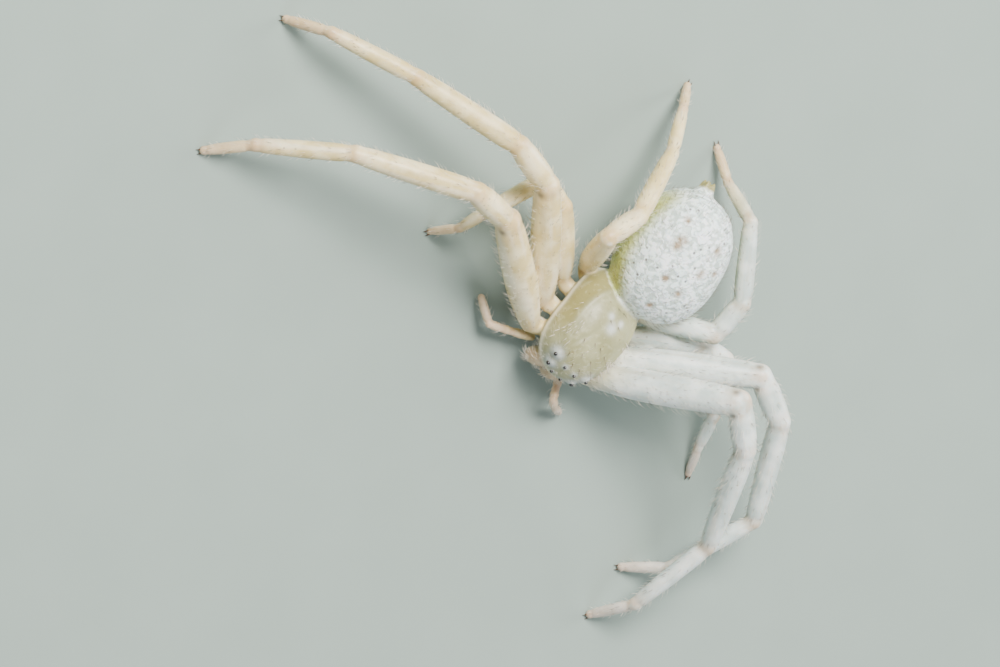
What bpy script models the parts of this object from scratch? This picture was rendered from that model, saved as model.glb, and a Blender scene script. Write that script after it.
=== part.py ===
"""A pale flower crab spider, life size, standing still on its eight spread legs.

Lengths are in millimetres and the finished meshes are scaled to metres.
The animal faces -Y, its left side is +X, and its feet stand on the floor at z = 0.
"""

import math

import bmesh
import bpy
from mathutils import Matrix, Vector

TO_METRES = 0.001

# How far everything moves so that the middle of the whole spread is over the origin.
BODY_PLACE = (2.31, -0.62, 0.0)

# The clearance between neighbouring nodes, and the finer one round an eye.
GAP = 0.1
EYE_GAP = 0.015

# The cephalothorax, whose rim is its widest level.
CARAPACE_HALF_WIDTH = 1.15
CARAPACE_FRONT = 1.72
CARAPACE_BACK = 1.62
CARAPACE_TOP = 2.6
RIM_HEIGHT = 1.52
RIM_SLOPE = 0.22
STERNUM_HEIGHT = 0.74
PEDICEL_RADIUS = 0.2
PEDICEL_START = (0.0, 1.0, 1.5)
PEDICEL_END = (0.0, 1.62, 1.55)

# The abdomen, whose own axes start at its middle and turn a little up and to the right.
ABDOMEN_CENTRE = (0.28, 2.95, 2.14)
ABDOMEN_HALF_WIDTH = 1.53
ABDOMEN_HALF_LENGTH = 1.96
ABDOMEN_TOP = 1.3
ABDOMEN_BOTTOM = 1.4
ABDOMEN_RISE = 3.0
ABDOMEN_TURN = -11.0

# Each eye: the direction on the carapace, its radius and the radius of the mound under it.
EYES = {
    "anterior_median": ((0.142, -0.95), 0.05, 0.1),
    "anterior_lateral": ((0.42, -0.83), 0.068, 0.19),
    "posterior_median": ((0.14, -0.71), 0.05, 0.1),
    "posterior_lateral": ((0.535, -0.6), 0.06, 0.2),
}
MOUND_SINK = 0.55

# The chelicerae hang from the face, leaning forward, and each ends in a short fang.
CHELICERA_PLACE = (0.34, -1.52, 1.06)
CHELICERA_SIZE = (0.3, 0.28, 0.56)
CHELICERA_LEAN = -12.0
FANG_ROOT = (0.0, -0.04, -0.48)
FANG_REACH = (-0.135, 0.04, -0.075)
FANG_RADIUS = 0.075
ENDITE_PLACE = (0.2, -1.2, 0.98)
ENDITE_SIZE = (0.18, 0.34, 0.2)

# The spinnerets: three pairs of tapered tubes and the anal tubercle on a low ring.
SPINNERET_RING = (0.3, 0.16, 0.27)
SPINNERET_LENGTH = 0.3
SPINNERET_RADIUS = 0.095
SPINNERET_SINK = 0.05
SPINNERET_LEAN = 0.03
ANAL_TUBERCLE = ((0.0, 0.02, 0.2), (0.0, 0.18, 0.22))

# Each pair of spinnerets: how far out and up on the ring, and its share of the full size.
SPINNERET_ROWS = (
    ("anterior", 0.12, -0.12, 1.0),
    ("median", 0.06, 0.0, 0.75),
    ("posterior", 0.13, 0.08, 1.0),
)

# Radius along a segment, from its near end to its far end, as (place, share of the widest).
FEMUR_PROFILE = ((0.0, 0.6), (0.12, 0.79), (0.32, 0.98), (0.58, 1.0), (0.84, 0.93), (1.0, 0.84))
SHORT_PROFILE = ((0.0, 0.9), (0.3, 1.0), (0.7, 0.98), (1.0, 0.9))
TIBIA_PROFILE = ((0.0, 0.92), (0.2, 1.0), (0.55, 0.96), (0.85, 0.86), (1.0, 0.78))
TARSUS_PROFILE = ((0.0, 0.92), (0.25, 1.0), (0.7, 0.94), (1.0, 0.76))
COXA_PROFILE = ((0.0, 0.62), (0.35, 0.86), (0.75, 1.0), (1.0, 0.9))
CLAW_PROFILE = ((0.0, 1.0), (0.5, 0.85), (1.0, 0.4))
FANG_PROFILE = ((0.0, 1.0), (0.5, 0.8), (1.0, 0.3))
SPINNERET_PROFILE = ((0.0, 1.0), (0.6, 0.85), (1.0, 0.5))

# Segment lengths and widest radii: femur, patella, tibia, metatarsus, tarsus.
LONG_LEG = dict(
    lengths=(4.5, 1.55, 3.6, 2.75, 1.45),
    radii=(0.48, 0.385, 0.35, 0.27, 0.185),
    coxa_radius=0.3,
)
SECOND_LEG = dict(
    lengths=(4.4, 1.55, 3.5, 2.7, 1.4),
    radii=(0.45, 0.375, 0.345, 0.265, 0.185),
    coxa_radius=0.3,
)
THIRD_LEG = dict(
    lengths=(2.6, 1.0, 1.75, 1.1, 0.95),
    radii=(0.35, 0.3, 0.27, 0.2, 0.155),
    coxa_radius=0.26,
)
FOURTH_LEG = dict(
    lengths=(2.55, 1.2, 2.35, 1.5, 1.1),
    radii=(0.35, 0.32, 0.29, 0.215, 0.165),
    coxa_radius=0.26,
)

# Where each pair's coxa starts under the carapace and where it ends, on the left side.
COXAE = (
    ((0.62, -0.78, 1.0), (1.23, -1.02, 1.06)),
    ((0.7, -0.2, 1.0), (1.38, -0.26, 1.04)),
    ((0.68, 0.38, 1.0), (1.3, 0.5, 1.04)),
    ((0.48, 0.84, 1.0), (1.02, 1.18, 1.06)),
)

# The pose of each leg: degrees forward of straight out to the side, then degrees of rise,
# for each segment. The tarsus has no rise, because it comes down to the floor.
POSES = {
    "leg_right_1": (LONG_LEG, (-20, 3, 24, 40, 57), (25, 12, -17, -28)),
    "leg_right_2": (SECOND_LEG, (-32, -9, 8, 14, 31), (25, 2, -16, -18)),
    "leg_right_3": (THIRD_LEG, (-34, -8, 71, 98, 66), (19, -3, -10, -43)),
    "leg_right_4": (FOURTH_LEG, (-31, -114, -96, -84, -99), (54, -12, -29, -34)),
    "leg_left_1": (LONG_LEG, (-38, 33, 50, 87, 107), (43, -9, -26, -26)),
    "leg_left_2": (SECOND_LEG, (-37, 21, 47, 103, 134), (26, 0, -21, -20)),
    "leg_left_3": (THIRD_LEG, (-31, -12, 53, 59, 54), (0, 0, -8, -22)),
    "leg_left_4": (FOURTH_LEG, (-25, -97, -129, -137, -137), (16, 13, -1, -59)),
}

# The palps: femur, patella, tibia and tarsus, posed like the legs.
PALP_BASE = (0.68, -1.22, 0.7)
PALP_LENGTHS = (0.72, 0.3, 0.42, 0.78)
PALP_RADII = (0.15, 0.15, 0.15, 0.145)
PALP_POSES = {
    "palp_right": ((24, 22, 22, -37), (0, 0, -4, -22)),
    "palp_left": ((74, 72, 14, -4), (20, 18, -35, -45)),
}

# A foot sinks this far below the floor before it is cut flat.
FOOT_SINK = 0.07
CLAW_LENGTH = 0.17
CLAW_RADIUS = 0.035
CLAW_OFFSET = 0.06
CLAW_SPREAD = 0.03

SEGMENT_SIDES = 10
SPINNERET_SIDES = 8
CLAW_SIDES = 6
END_DOME = 0.5
FLOOR_CUTTER_SIZE = 60.0

# Colour, roughness: the whole animal is waxy, and only eyes and claws are dark.
COLOURS = {
    "carapace": ((0.62, 0.62, 0.42), 0.42),
    "abdomen": ((0.80, 0.83, 0.76), 0.5),
    "leg": ((0.78, 0.76, 0.66), 0.45),
    "palp": ((0.75, 0.62, 0.52), 0.5),
    "eye": ((0.01, 0.01, 0.012), 0.08),
}


def clear_scene():
    """Start from an empty file."""
    for old in list(bpy.data.objects):
        bpy.data.objects.remove(old)


def material(name, kind):
    """A Principled material for one object."""
    colour, roughness = COLOURS[kind]
    made = bpy.data.materials.new(name)
    made.use_nodes = True
    shader = made.node_tree.nodes["Principled BSDF"]
    shader.inputs["Base Color"].default_value = (*colour, 1.0)
    shader.inputs["Roughness"].default_value = roughness
    shader.inputs["Metallic"].default_value = 0.0
    return made


def mirrored(place, side):
    """A place on the left side (side 1) or its twin on the right (side -1)."""
    return Vector((place[0] * side, place[1], place[2]))


def signed_power(value, power):
    """A power that keeps the sign of its base."""
    return math.copysign(abs(value) ** power, value)


def object_from(name, mesh_builder):
    """A mesh object made from a finished bmesh."""
    bmesh.ops.recalc_face_normals(mesh_builder, faces=mesh_builder.faces)
    mesh = bpy.data.meshes.new(name)
    mesh_builder.to_mesh(mesh)
    mesh_builder.free()
    made = bpy.data.objects.new(name, mesh)
    bpy.context.scene.collection.objects.link(made)
    return made


def moulded_ball(name, segments, rings, mould):
    """A ball whose every point is moved by a function of its direction."""
    ball = bmesh.new()
    bmesh.ops.create_uvsphere(ball, u_segments=segments, v_segments=rings, radius=1.0)
    for vertex in ball.verts:
        vertex.co = mould(vertex.co.normalized())
    return object_from(name, ball)


def ellipsoid(name, centre, size, turn=Matrix.Identity(3), segments=12, rings=8):
    """A ball stretched along its own axes, turned and placed."""
    return moulded_ball(
        name,
        segments,
        rings,
        lambda n: Vector(centre) + turn @ Vector([a * b for a, b in zip(n, size)]),
    )


def turned_segment(name, start, end, profile, radius, grow=0.0, sides=SEGMENT_SIDES):
    """A round segment between two points, with domed ends, turned from its profile."""
    start = Vector(start)
    axis = Vector(end) - start
    length = axis.length
    outline = [(-END_DOME * profile[0][1] * radius - grow, 0.0)]
    outline += [(share * length, width * radius + grow) for share, width in profile]
    outline.append((length + END_DOME * profile[-1][1] * radius + grow, 0.0))
    lathe = bmesh.new()
    points = [lathe.verts.new((width, 0.0, along)) for along, width in outline]
    edges = [lathe.edges.new(pair) for pair in zip(points, points[1:])]
    bmesh.ops.spin(
        lathe,
        geom=points + edges,
        cent=(0, 0, 0),
        axis=(0, 0, 1),
        angle=math.tau,
        steps=sides,
        use_merge=True,
    )
    bmesh.ops.remove_doubles(lathe, verts=lathe.verts, dist=1e-4)
    facing = axis.to_track_quat("Z", "Y").to_matrix().to_4x4()
    bmesh.ops.transform(lathe, matrix=Matrix.Translation(start) @ facing, verts=lathe.verts)
    return object_from(name, lathe)


def combined(target, others, operation):
    """The target with all the others joined to it or cut from it in one Boolean."""
    tools = bpy.data.collections.new("tools")
    for other in others:
        tools.objects.link(other)
    step = target.modifiers.new(operation, "BOOLEAN")
    step.operation = operation
    step.solver = "EXACT"
    step.operand_type = "COLLECTION"
    step.collection = tools
    evaluated = target.evaluated_get(bpy.context.evaluated_depsgraph_get())
    mesh = bpy.data.meshes.new_from_object(evaluated)
    target.modifiers.clear()
    target.data = mesh
    for other in others:
        bpy.data.objects.remove(other)
    bpy.data.collections.remove(tools)
    keep_largest_surface(target)
    return target


def surfaces(mesh_builder):
    """The separate closed surfaces of a mesh, as lists of faces."""
    unseen = set(mesh_builder.faces)
    found = []
    while unseen:
        front = [unseen.pop()]
        island = []
        while front:
            face = front.pop()
            island.append(face)
            for edge in face.edges:
                for neighbour in edge.link_faces:
                    if neighbour in unseen:
                        unseen.remove(neighbour)
                        front.append(neighbour)
        found.append(island)
    return found


def keep_largest_surface(target):
    """Drop every surface but the one with the most area."""
    body = bmesh.new()
    body.from_mesh(target.data)
    islands = surfaces(body)
    largest = max(islands, key=lambda faces: sum(face.calc_area() for face in faces))
    scraps = [face for faces in islands if faces is not largest for face in faces]
    bmesh.ops.delete(body, geom=scraps, context="FACES")
    body.to_mesh(target.data)
    body.free()


def finish_node(node, kind):
    """Give a node its own material, smooth shading and its size in metres."""
    node.data.transform(Matrix.Scale(TO_METRES, 4) @ Matrix.Translation(BODY_PLACE))
    node.data.materials.clear()
    node.data.materials.append(material(node.name, kind))
    node.data.shade_smooth()
    return node


def carapace_mould(n):
    """The cephalothorax: steep broad face, domed back, and a narrower flat underside."""
    front = max(0.0, -n.y)
    back = max(0.0, n.y)
    under = max(0.0, -n.z)
    above = max(0.0, n.z)
    narrowing = (1.0 - 0.16 * front**2 + 0.16 * back**2) * (1.0 - 0.36 * under**0.8)
    x = CARAPACE_HALF_WIDTH * signed_power(n.x, 0.85) * narrowing
    y = CARAPACE_BACK * back**0.66 - CARAPACE_FRONT * front**0.6 * (1.0 - 0.3 * under)
    rise = (CARAPACE_TOP - RIM_HEIGHT) * above**0.9 * (1.0 - 0.25 * back)
    drop = (RIM_HEIGHT - STERNUM_HEIGHT) * under**0.7
    rim = RIM_HEIGHT - RIM_SLOPE * back
    return Vector((x, y, rim + rise - drop))


def on_carapace(across, along):
    """The point and the outward normal of the carapace above a direction on it."""
    def point(a, b):
        return carapace_mould(Vector((a, b, math.sqrt(max(0.0, 1.0 - a * a - b * b)))))

    step = 0.01
    place = point(across, along)
    sideways = point(across + step, along) - place
    backwards = point(across, along + step) - place
    return place, sideways.cross(backwards).normalized()


def abdomen_frame():
    """The turn of the abdomen's own axes."""
    turn = Matrix.Rotation(-math.radians(ABDOMEN_TURN), 3, "Z")
    return turn @ Matrix.Rotation(math.radians(ABDOMEN_RISE), 3, "X")


def abdomen_mould(n, grow=0.0):
    """The abdomen: broad and blunt, widest behind its middle, a little flat above."""
    x = (ABDOMEN_HALF_WIDTH + grow) * signed_power(n.x, 0.86) * (1.0 - 0.07 * n.y)
    y = (ABDOMEN_HALF_LENGTH + grow) * signed_power(n.y, 0.88)
    height = ABDOMEN_TOP if n.z > 0.0 else ABDOMEN_BOTTOM
    z = (height + grow) * signed_power(n.z, 0.9) * (1.0 + 0.08 * n.y)
    return Vector(ABDOMEN_CENTRE) + abdomen_frame() @ Vector((x, y, z))


def abdomen_ball(name, segments, rings, grow=0.0):
    """The abdomen's plain form."""
    return moulded_ball(name, segments, rings, lambda n: abdomen_mould(n, grow))


def direction(side, sweep, rise):
    """A unit step from the pose's two angles, in degrees."""
    sweep = math.radians(sweep)
    rise = math.radians(rise)
    level = math.cos(rise)
    return Vector((side * level * math.cos(sweep), -level * math.sin(sweep), math.sin(rise)))


def leg_joints(name):
    """The joints of a leg from its hip to its claws, with the foot on the floor."""
    sizes, sweeps, rises = POSES[name]
    side = 1 if "left" in name else -1
    pair = int(name[-1]) - 1
    joints = [mirrored(COXAE[pair][1], side)]
    for length, sweep, rise in zip(sizes["lengths"], sweeps, rises):
        joints.append(joints[-1] + length * direction(side, sweep, rise))
    foot_height = sizes["radii"][-1] * TARSUS_PROFILE[-1][1] - FOOT_SINK
    reach = (foot_height - joints[-1].z) / sizes["lengths"][-1]
    last_rise = math.degrees(math.asin(max(-1.0, reach)))
    joints.append(joints[-1] + sizes["lengths"][-1] * direction(side, sweeps[-1], last_rise))
    return joints


def coxa(name, grow=0.0):
    """The first segment of a leg, between the carapace and the sternum."""
    side = 1 if "left" in name else -1
    inner, outer = COXAE[int(name[-1]) - 1]
    radius = POSES[name][0]["coxa_radius"]
    return turned_segment(
        name + "_coxa", mirrored(inner, side), mirrored(outer, side), COXA_PROFILE, radius, grow
    )


def femur(name, grow=0.0):
    """The stout second segment of a leg."""
    hip, knee = leg_joints(name)[:2]
    radius = POSES[name][0]["radii"][0]
    return turned_segment(name + "_femur", hip, knee, FEMUR_PROFILE, radius, grow)


def claws(name, tip, heading):
    """Two short curved claws side by side at the end of a foot."""
    across = heading.cross(Vector((0, 0, 1))).normalized()
    level = Vector((heading.x, heading.y, 0.0)).normalized()
    made = []
    for number, side in enumerate((-1, 1)):
        root = tip + (across * side - heading) * CLAW_OFFSET
        end = root + level * CLAW_LENGTH + across * side * CLAW_SPREAD
        end.z = CLAW_RADIUS
        title = f"{name}_claw_{number}"
        made.append(turned_segment(title, root, end, CLAW_PROFILE, CLAW_RADIUS, sides=CLAW_SIDES))
    return made


def make_leg(name):
    """One whole leg, from its coxa to its claws, with its foot cut flat at the floor."""
    joints = leg_joints(name)
    radii = POSES[name][0]["radii"]
    profiles = (SHORT_PROFILE, TIBIA_PROFILE, TIBIA_PROFILE, TARSUS_PROFILE)
    pieces = [femur(name)]
    for number, profile in enumerate(profiles, start=1):
        piece = turned_segment(
            f"{name}_{number}", joints[number], joints[number + 1], profile, radii[number]
        )
        pieces.append(piece)
    heading = (joints[-1] - joints[-2]).normalized()
    tip = joints[-1] + heading * radii[-1] * 0.3
    pieces += claws(name, tip, heading)
    leg = combined(coxa(name), pieces, "UNION")
    leg.name = name
    combined(leg, [floor_cutter()], "DIFFERENCE")
    return finish_node(leg, "leg")


def floor_cutter():
    """A block that fills the space below the floor."""
    block = bmesh.new()
    bmesh.ops.create_cube(block, size=FLOOR_CUTTER_SIZE)
    bmesh.ops.translate(block, vec=(0, 0, -FLOOR_CUTTER_SIZE / 2), verts=block.verts)
    return object_from("floor_cutter", block)


def palp_joints(name):
    """The joints of a palp from its base to its tip."""
    side = 1 if "left" in name else -1
    joints = [mirrored(PALP_BASE, side)]
    for length, sweep, rise in zip(PALP_LENGTHS, *PALP_POSES[name]):
        joints.append(joints[-1] + length * direction(side, sweep, rise))
    return joints


def palp_femur(name, grow=0.0):
    """The first segment of a palp."""
    start, end = palp_joints(name)[:2]
    return turned_segment(name + "_femur", start, end, SHORT_PROFILE, PALP_RADII[0], grow)


def make_palp(name):
    """A short leg-like feeler beside the chelicerae."""
    joints = palp_joints(name)
    pieces = [
        turned_segment(f"{name}_{number}", joints[number], joints[number + 1], SHORT_PROFILE, radius)
        for number, radius in enumerate(PALP_RADII)
        if number > 0
    ]
    palp = combined(palp_femur(name), pieces, "UNION")
    palp.name = name
    return finish_node(palp, "palp")


def chelicera_body(side, grow=0.0):
    """The stout basal piece of a chelicera, leaning a little forward."""
    lean = Matrix.Rotation(math.radians(CHELICERA_LEAN), 3, "X")
    size = [value + grow for value in CHELICERA_SIZE]
    return ellipsoid("chelicera", mirrored(CHELICERA_PLACE, side), size, lean)


def make_chelicera(name, side):
    """A chelicera with its fang folded inward below it."""
    root = mirrored(CHELICERA_PLACE, side) + mirrored(FANG_ROOT, side)
    tip = root + mirrored(FANG_REACH, side)
    fang = turned_segment("fang", root, tip, FANG_PROFILE, FANG_RADIUS, sides=CLAW_SIDES)
    chelicera = combined(chelicera_body(side), [fang], "UNION")
    chelicera.name = name
    return finish_node(chelicera, "palp")


def eye_place(kind, side):
    """The middle of an eye, on top of its mound, and the mound's middle."""
    (across, along), radius, mound = EYES[kind]
    place, normal = on_carapace(across, along)
    middle = place - normal * mound * MOUND_SINK
    top = middle + normal * (mound - 0.35 * radius)
    return mirrored(top, side), mirrored(middle, side)


def eye_ball(name, kind, side, grow=0.0):
    """A small round eye."""
    radius = EYES[kind][1] + grow
    return ellipsoid(name, eye_place(kind, side)[0], (radius,) * 3, segments=10, rings=6)


def pedicel(grow=0.0):
    """The narrow waist behind the carapace."""
    return turned_segment(
        "pedicel", PEDICEL_START, PEDICEL_END, SHORT_PROFILE, PEDICEL_RADIUS, grow
    )


def make_cephalothorax():
    """The carapace with its eye mounds, the sternum, the endites and the waist."""
    pieces = [pedicel()]
    for side in (1, -1):
        for kind, (_, _, mound) in EYES.items():
            middle = eye_place(kind, side)[1]
            pieces.append(ellipsoid("mound", middle, (mound,) * 3, segments=10, rings=6))
        pieces.append(ellipsoid("endite", mirrored(ENDITE_PLACE, side), ENDITE_SIZE))
    body = moulded_ball("cephalothorax", 28, 18, carapace_mould)
    combined(body, [abdomen_ball("hollow", 24, 16, GAP)], "DIFFERENCE")
    combined(body, pieces, "UNION")
    cutters = []
    for side in (1, -1):
        cutters.append(chelicera_body(side, GAP))
        for kind in EYES:
            cutters.append(eye_ball("socket", kind, side, EYE_GAP))
    for name in POSES:
        cutters += [coxa(name, GAP), femur(name, GAP)]
    for name in PALP_POSES:
        cutters.append(palp_femur(name, GAP))
    combined(body, cutters, "DIFFERENCE")
    return finish_node(body, "carapace")


def spinneret_place():
    """The middle of the spinneret ring at the hind end of the abdomen, and the way out."""
    out = (abdomen_frame() @ Vector((0.0, 1.0, -0.12))).normalized()
    return abdomen_mould(Vector((0.0, 0.985, -0.17))), out


def spinneret_ring(grow=0.0):
    """The low ring that carries the spinnerets."""
    place, out = spinneret_place()
    turn = out.to_track_quat("Y", "Z").to_matrix()
    size = [value + grow for value in SPINNERET_RING]
    return ellipsoid("ring", place, size, turn)


def make_spinnerets():
    """Three pairs of spinnerets and the anal tubercle, close together on their ring."""
    place, out = spinneret_place()
    turn = out.to_track_quat("Y", "Z").to_matrix()
    tubes = []
    for row, across, up, share in SPINNERET_ROWS:
        for side in (1, -1):
            root = mirrored((across, SPINNERET_SINK, up), side)
            reach = mirrored((-SPINNERET_LEAN, SPINNERET_LENGTH * share, 0.0), side)
            tubes.append((row, root, root + reach, SPINNERET_RADIUS * share))
    tubes.append(("anal_tubercle", *map(Vector, ANAL_TUBERCLE), SPINNERET_RADIUS))
    pieces = []
    for title, root, tip, radius in tubes:
        ends = (place + turn @ root, place + turn @ tip)
        pieces.append(
            turned_segment(title, *ends, SPINNERET_PROFILE, radius, sides=SPINNERET_SIDES)
        )
    cluster = combined(spinneret_ring(), pieces, "UNION")
    cluster.name = "spinnerets"
    return finish_node(cluster, "abdomen")


def make_abdomen():
    """The abdomen, hollowed a little where the waist and the spinnerets meet it."""
    body = abdomen_ball("abdomen", 36, 22)
    combined(body, [pedicel(GAP), spinneret_ring(GAP)], "DIFFERENCE")
    return finish_node(body, "abdomen")


def main():
    clear_scene()
    nodes = [make_cephalothorax(), make_abdomen(), make_spinnerets()]
    for name in POSES:
        nodes.append(make_leg(name))
    for name in PALP_POSES:
        nodes.append(make_palp(name))
    for side, word in ((1, "left"), (-1, "right")):
        nodes.append(make_chelicera(f"chelicera_{word}", side))
        for kind in EYES:
            name = f"eye_{kind}_{word}"
            nodes.append(finish_node(eye_ball(name, kind, side), "eye"))
    spider = bpy.data.collections.new("crab_spider")
    bpy.context.scene.collection.children.link(spider)
    for node in nodes:
        bpy.context.scene.collection.objects.unlink(node)
        spider.objects.link(node)


main()
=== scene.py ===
"""The looks of a pale flower crab spider: skin, eyes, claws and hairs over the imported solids.

Lengths are in millimetres in the animal's own frame, and every finished piece is moved and
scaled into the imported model's frame, in metres. The animal faces -Y and its left side is +X.
"""

import math
import random
from collections import namedtuple

import bpy
import numpy as np
from mathutils import Matrix, Vector, noise

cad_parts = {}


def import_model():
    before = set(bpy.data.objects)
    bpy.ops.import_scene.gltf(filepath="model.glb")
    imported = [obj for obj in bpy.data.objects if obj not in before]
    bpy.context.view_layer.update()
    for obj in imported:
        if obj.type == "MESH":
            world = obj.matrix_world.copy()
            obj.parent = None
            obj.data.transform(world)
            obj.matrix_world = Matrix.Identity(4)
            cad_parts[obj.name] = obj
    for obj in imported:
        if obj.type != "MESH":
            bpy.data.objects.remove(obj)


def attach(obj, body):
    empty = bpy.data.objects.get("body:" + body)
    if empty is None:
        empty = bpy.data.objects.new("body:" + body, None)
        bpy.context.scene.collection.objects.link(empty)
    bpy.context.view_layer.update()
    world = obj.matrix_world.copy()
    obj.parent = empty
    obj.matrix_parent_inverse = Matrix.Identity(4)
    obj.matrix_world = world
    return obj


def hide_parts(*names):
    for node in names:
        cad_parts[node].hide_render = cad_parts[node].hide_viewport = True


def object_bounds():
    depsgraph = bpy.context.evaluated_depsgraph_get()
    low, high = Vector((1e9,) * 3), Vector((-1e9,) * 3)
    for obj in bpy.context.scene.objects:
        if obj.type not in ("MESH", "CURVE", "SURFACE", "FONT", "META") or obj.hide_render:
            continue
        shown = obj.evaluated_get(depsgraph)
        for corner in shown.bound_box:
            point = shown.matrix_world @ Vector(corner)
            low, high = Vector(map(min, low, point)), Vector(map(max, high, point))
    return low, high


TO_METRES = 0.001
BODY_PLACE = np.array([2.31, -0.62, 0.0])
SEED = 20

# The photograph's view: its width, its right and up directions, its middle and its lens.
FRAME_WIDTH = 1000 / 36.0
CAMERA_RIGHT = (0.622, 0.635, 0.458)
CAMERA_UP = (-0.587, 0.765, -0.263)
CAMERA_TARGET = (-1.49, -1.755, 0.605)
CAMERA_LENS = 400.0
SENSOR_WIDTH = 36.0

# The cephalothorax.
CARAPACE_HALF_WIDTH = 1.15
CARAPACE_FRONT = 1.72
CARAPACE_BACK = 1.62
CARAPACE_TOP = 2.6
RIM_HEIGHT = 1.52
RIM_SLOPE = 0.22
STERNUM_HEIGHT = 0.74
PEDICEL_RADIUS = 0.2
PEDICEL_START = (0.0, 1.0, 1.5)
PEDICEL_END = (0.0, 1.62, 1.55)

# The abdomen, and how far each of its axes is squared off.
ABDOMEN_CENTRE = (0.28, 2.95, 2.14)
ABDOMEN_HALF_WIDTH = 1.53
ABDOMEN_HALF_LENGTH = 1.96
ABDOMEN_TOP = 1.3
ABDOMEN_BOTTOM = 1.4
ABDOMEN_RISE = 3.0
ABDOMEN_TURN = -11.0
ABDOMEN_POWERS = (0.86, 0.88, 0.9)

# Each eye: its direction on the carapace, its radius and the radius of the mound under it.
EYES = {
    "anterior_median": ((0.142, -0.95), 0.05, 0.1),
    "anterior_lateral": ((0.42, -0.83), 0.068, 0.19),
    "posterior_median": ((0.14, -0.71), 0.05, 0.1),
    "posterior_lateral": ((0.535, -0.6), 0.06, 0.2),
}

# How deep a mound sits in the carapace, and an eye in its mound, as shares of their radii.
MOUND_SINK = 0.55
EYE_SINK = 0.35
EYE_RIDGE_RADIUS = 0.15

CHELICERA_PLACE = (0.34, -1.52, 1.06)
CHELICERA_SIZE = (0.3, 0.28, 0.56)
CHELICERA_LEAN = -12.0
FANG_ROOT = (0.0, -0.04, -0.48)
FANG_LENGTH = 0.18
FANG_RADIUS = 0.06
ENDITE_PLACE = (0.2, -1.2, 0.98)
ENDITE_SIZE = (0.18, 0.34, 0.2)

SPINNERET_RING = (0.3, 0.16, 0.27)
SPINNERET_LENGTH = 0.3
SPINNERET_RADIUS = 0.095
SPINNERET_SINK = 0.05
SPINNERET_LEAN = 0.03
TUBERCLE_ROOT = (0.0, 0.02, 0.2)
TUBERCLE_REACH = (0.0, 0.16, 0.02)

# Each pair of spinnerets: how far out and up it stands, and its share of the full size.
SPINNERET_ROWS = ((0.12, -0.12, 1.0), (0.06, 0.0, 0.75), (0.13, 0.08, 1.0))

# Radius along a segment, as (place, share of the widest).
FEMUR_PROFILE = ((0.0, 0.6), (0.12, 0.79), (0.32, 0.98), (0.58, 1.0), (0.84, 0.93), (1.0, 0.84))
SHORT_PROFILE = ((0.0, 0.9), (0.3, 1.0), (0.7, 0.98), (1.0, 0.9))
TIBIA_PROFILE = ((0.0, 0.92), (0.2, 1.0), (0.55, 0.96), (0.85, 0.86), (1.0, 0.78))
TARSUS_PROFILE = ((0.0, 0.92), (0.25, 1.0), (0.7, 0.94), (1.0, 0.76))
COXA_PROFILE = ((0.0, 0.62), (0.35, 0.86), (0.75, 1.0), (1.0, 0.9))
SPINNERET_PROFILE = ((0.0, 1.0), (0.6, 0.85), (1.0, 0.5))
LEG_PROFILES = (FEMUR_PROFILE, SHORT_PROFILE, TIBIA_PROFILE, TIBIA_PROFILE, TARSUS_PROFILE)
LEG_KINDS = ("femur", "patella", "tibia", "metatarsus", "tarsus")
PALP_KINDS = ("femur", "patella", "tibia", "tarsus")
PALP_PROFILES = (SHORT_PROFILE,) * len(PALP_KINDS)

# Segment lengths and widest radii: femur, patella, tibia, metatarsus, tarsus.
LONG_LEG = dict(
    lengths=(4.5, 1.55, 3.6, 2.75, 1.45),
    radii=(0.48, 0.385, 0.35, 0.27, 0.185),
    coxa_radius=0.3,
)
SECOND_LEG = dict(
    lengths=(4.4, 1.55, 3.5, 2.7, 1.4),
    radii=(0.45, 0.375, 0.345, 0.265, 0.185),
    coxa_radius=0.3,
)
THIRD_LEG = dict(
    lengths=(2.6, 1.0, 1.75, 1.1, 0.95),
    radii=(0.35, 0.3, 0.27, 0.2, 0.155),
    coxa_radius=0.26,
)
FOURTH_LEG = dict(
    lengths=(2.55, 1.2, 2.35, 1.5, 1.1),
    radii=(0.35, 0.32, 0.29, 0.215, 0.165),
    coxa_radius=0.26,
)

# Where each pair's coxa starts and ends, on the left side.
COXAE = (
    ((0.62, -0.78, 1.0), (1.23, -1.02, 1.06)),
    ((0.7, -0.2, 1.0), (1.38, -0.26, 1.04)),
    ((0.68, 0.38, 1.0), (1.3, 0.5, 1.04)),
    ((0.48, 0.84, 1.0), (1.02, 1.18, 1.06)),
)

# The pose of each leg: degrees forward of straight out, then degrees of rise, by segment.
POSES = {
    "leg_right_1": (LONG_LEG, (-20, 3, 24, 40, 57), (25, 12, -17, -28)),
    "leg_right_2": (SECOND_LEG, (-32, -9, 8, 14, 31), (25, 2, -16, -18)),
    "leg_right_3": (THIRD_LEG, (-34, -8, 71, 98, 66), (19, -3, -10, -43)),
    "leg_right_4": (FOURTH_LEG, (-31, -114, -96, -84, -99), (54, -12, -29, -34)),
    "leg_left_1": (LONG_LEG, (-38, 33, 50, 87, 107), (43, -9, -26, -26)),
    "leg_left_2": (SECOND_LEG, (-37, 21, 47, 103, 134), (26, 0, -21, -20)),
    "leg_left_3": (THIRD_LEG, (-31, -12, 53, 59, 54), (0, 0, -8, -22)),
    "leg_left_4": (FOURTH_LEG, (-25, -97, -129, -137, -137), (16, 13, -1, -59)),
}
PALP_BASE = (0.68, -1.22, 0.7)
PALP_LENGTHS = (0.72, 0.3, 0.42, 0.78)
PALP_RADII = (0.15, 0.15, 0.15, 0.145)
PALP_POSES = {
    "palp_right": ((24, 22, 22, -37), (0, 0, -4, -22)),
    "palp_left": ((74, 72, 14, -4), (20, 18, -35, -45)),
}
FOOT_SINK = 0.07

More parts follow.
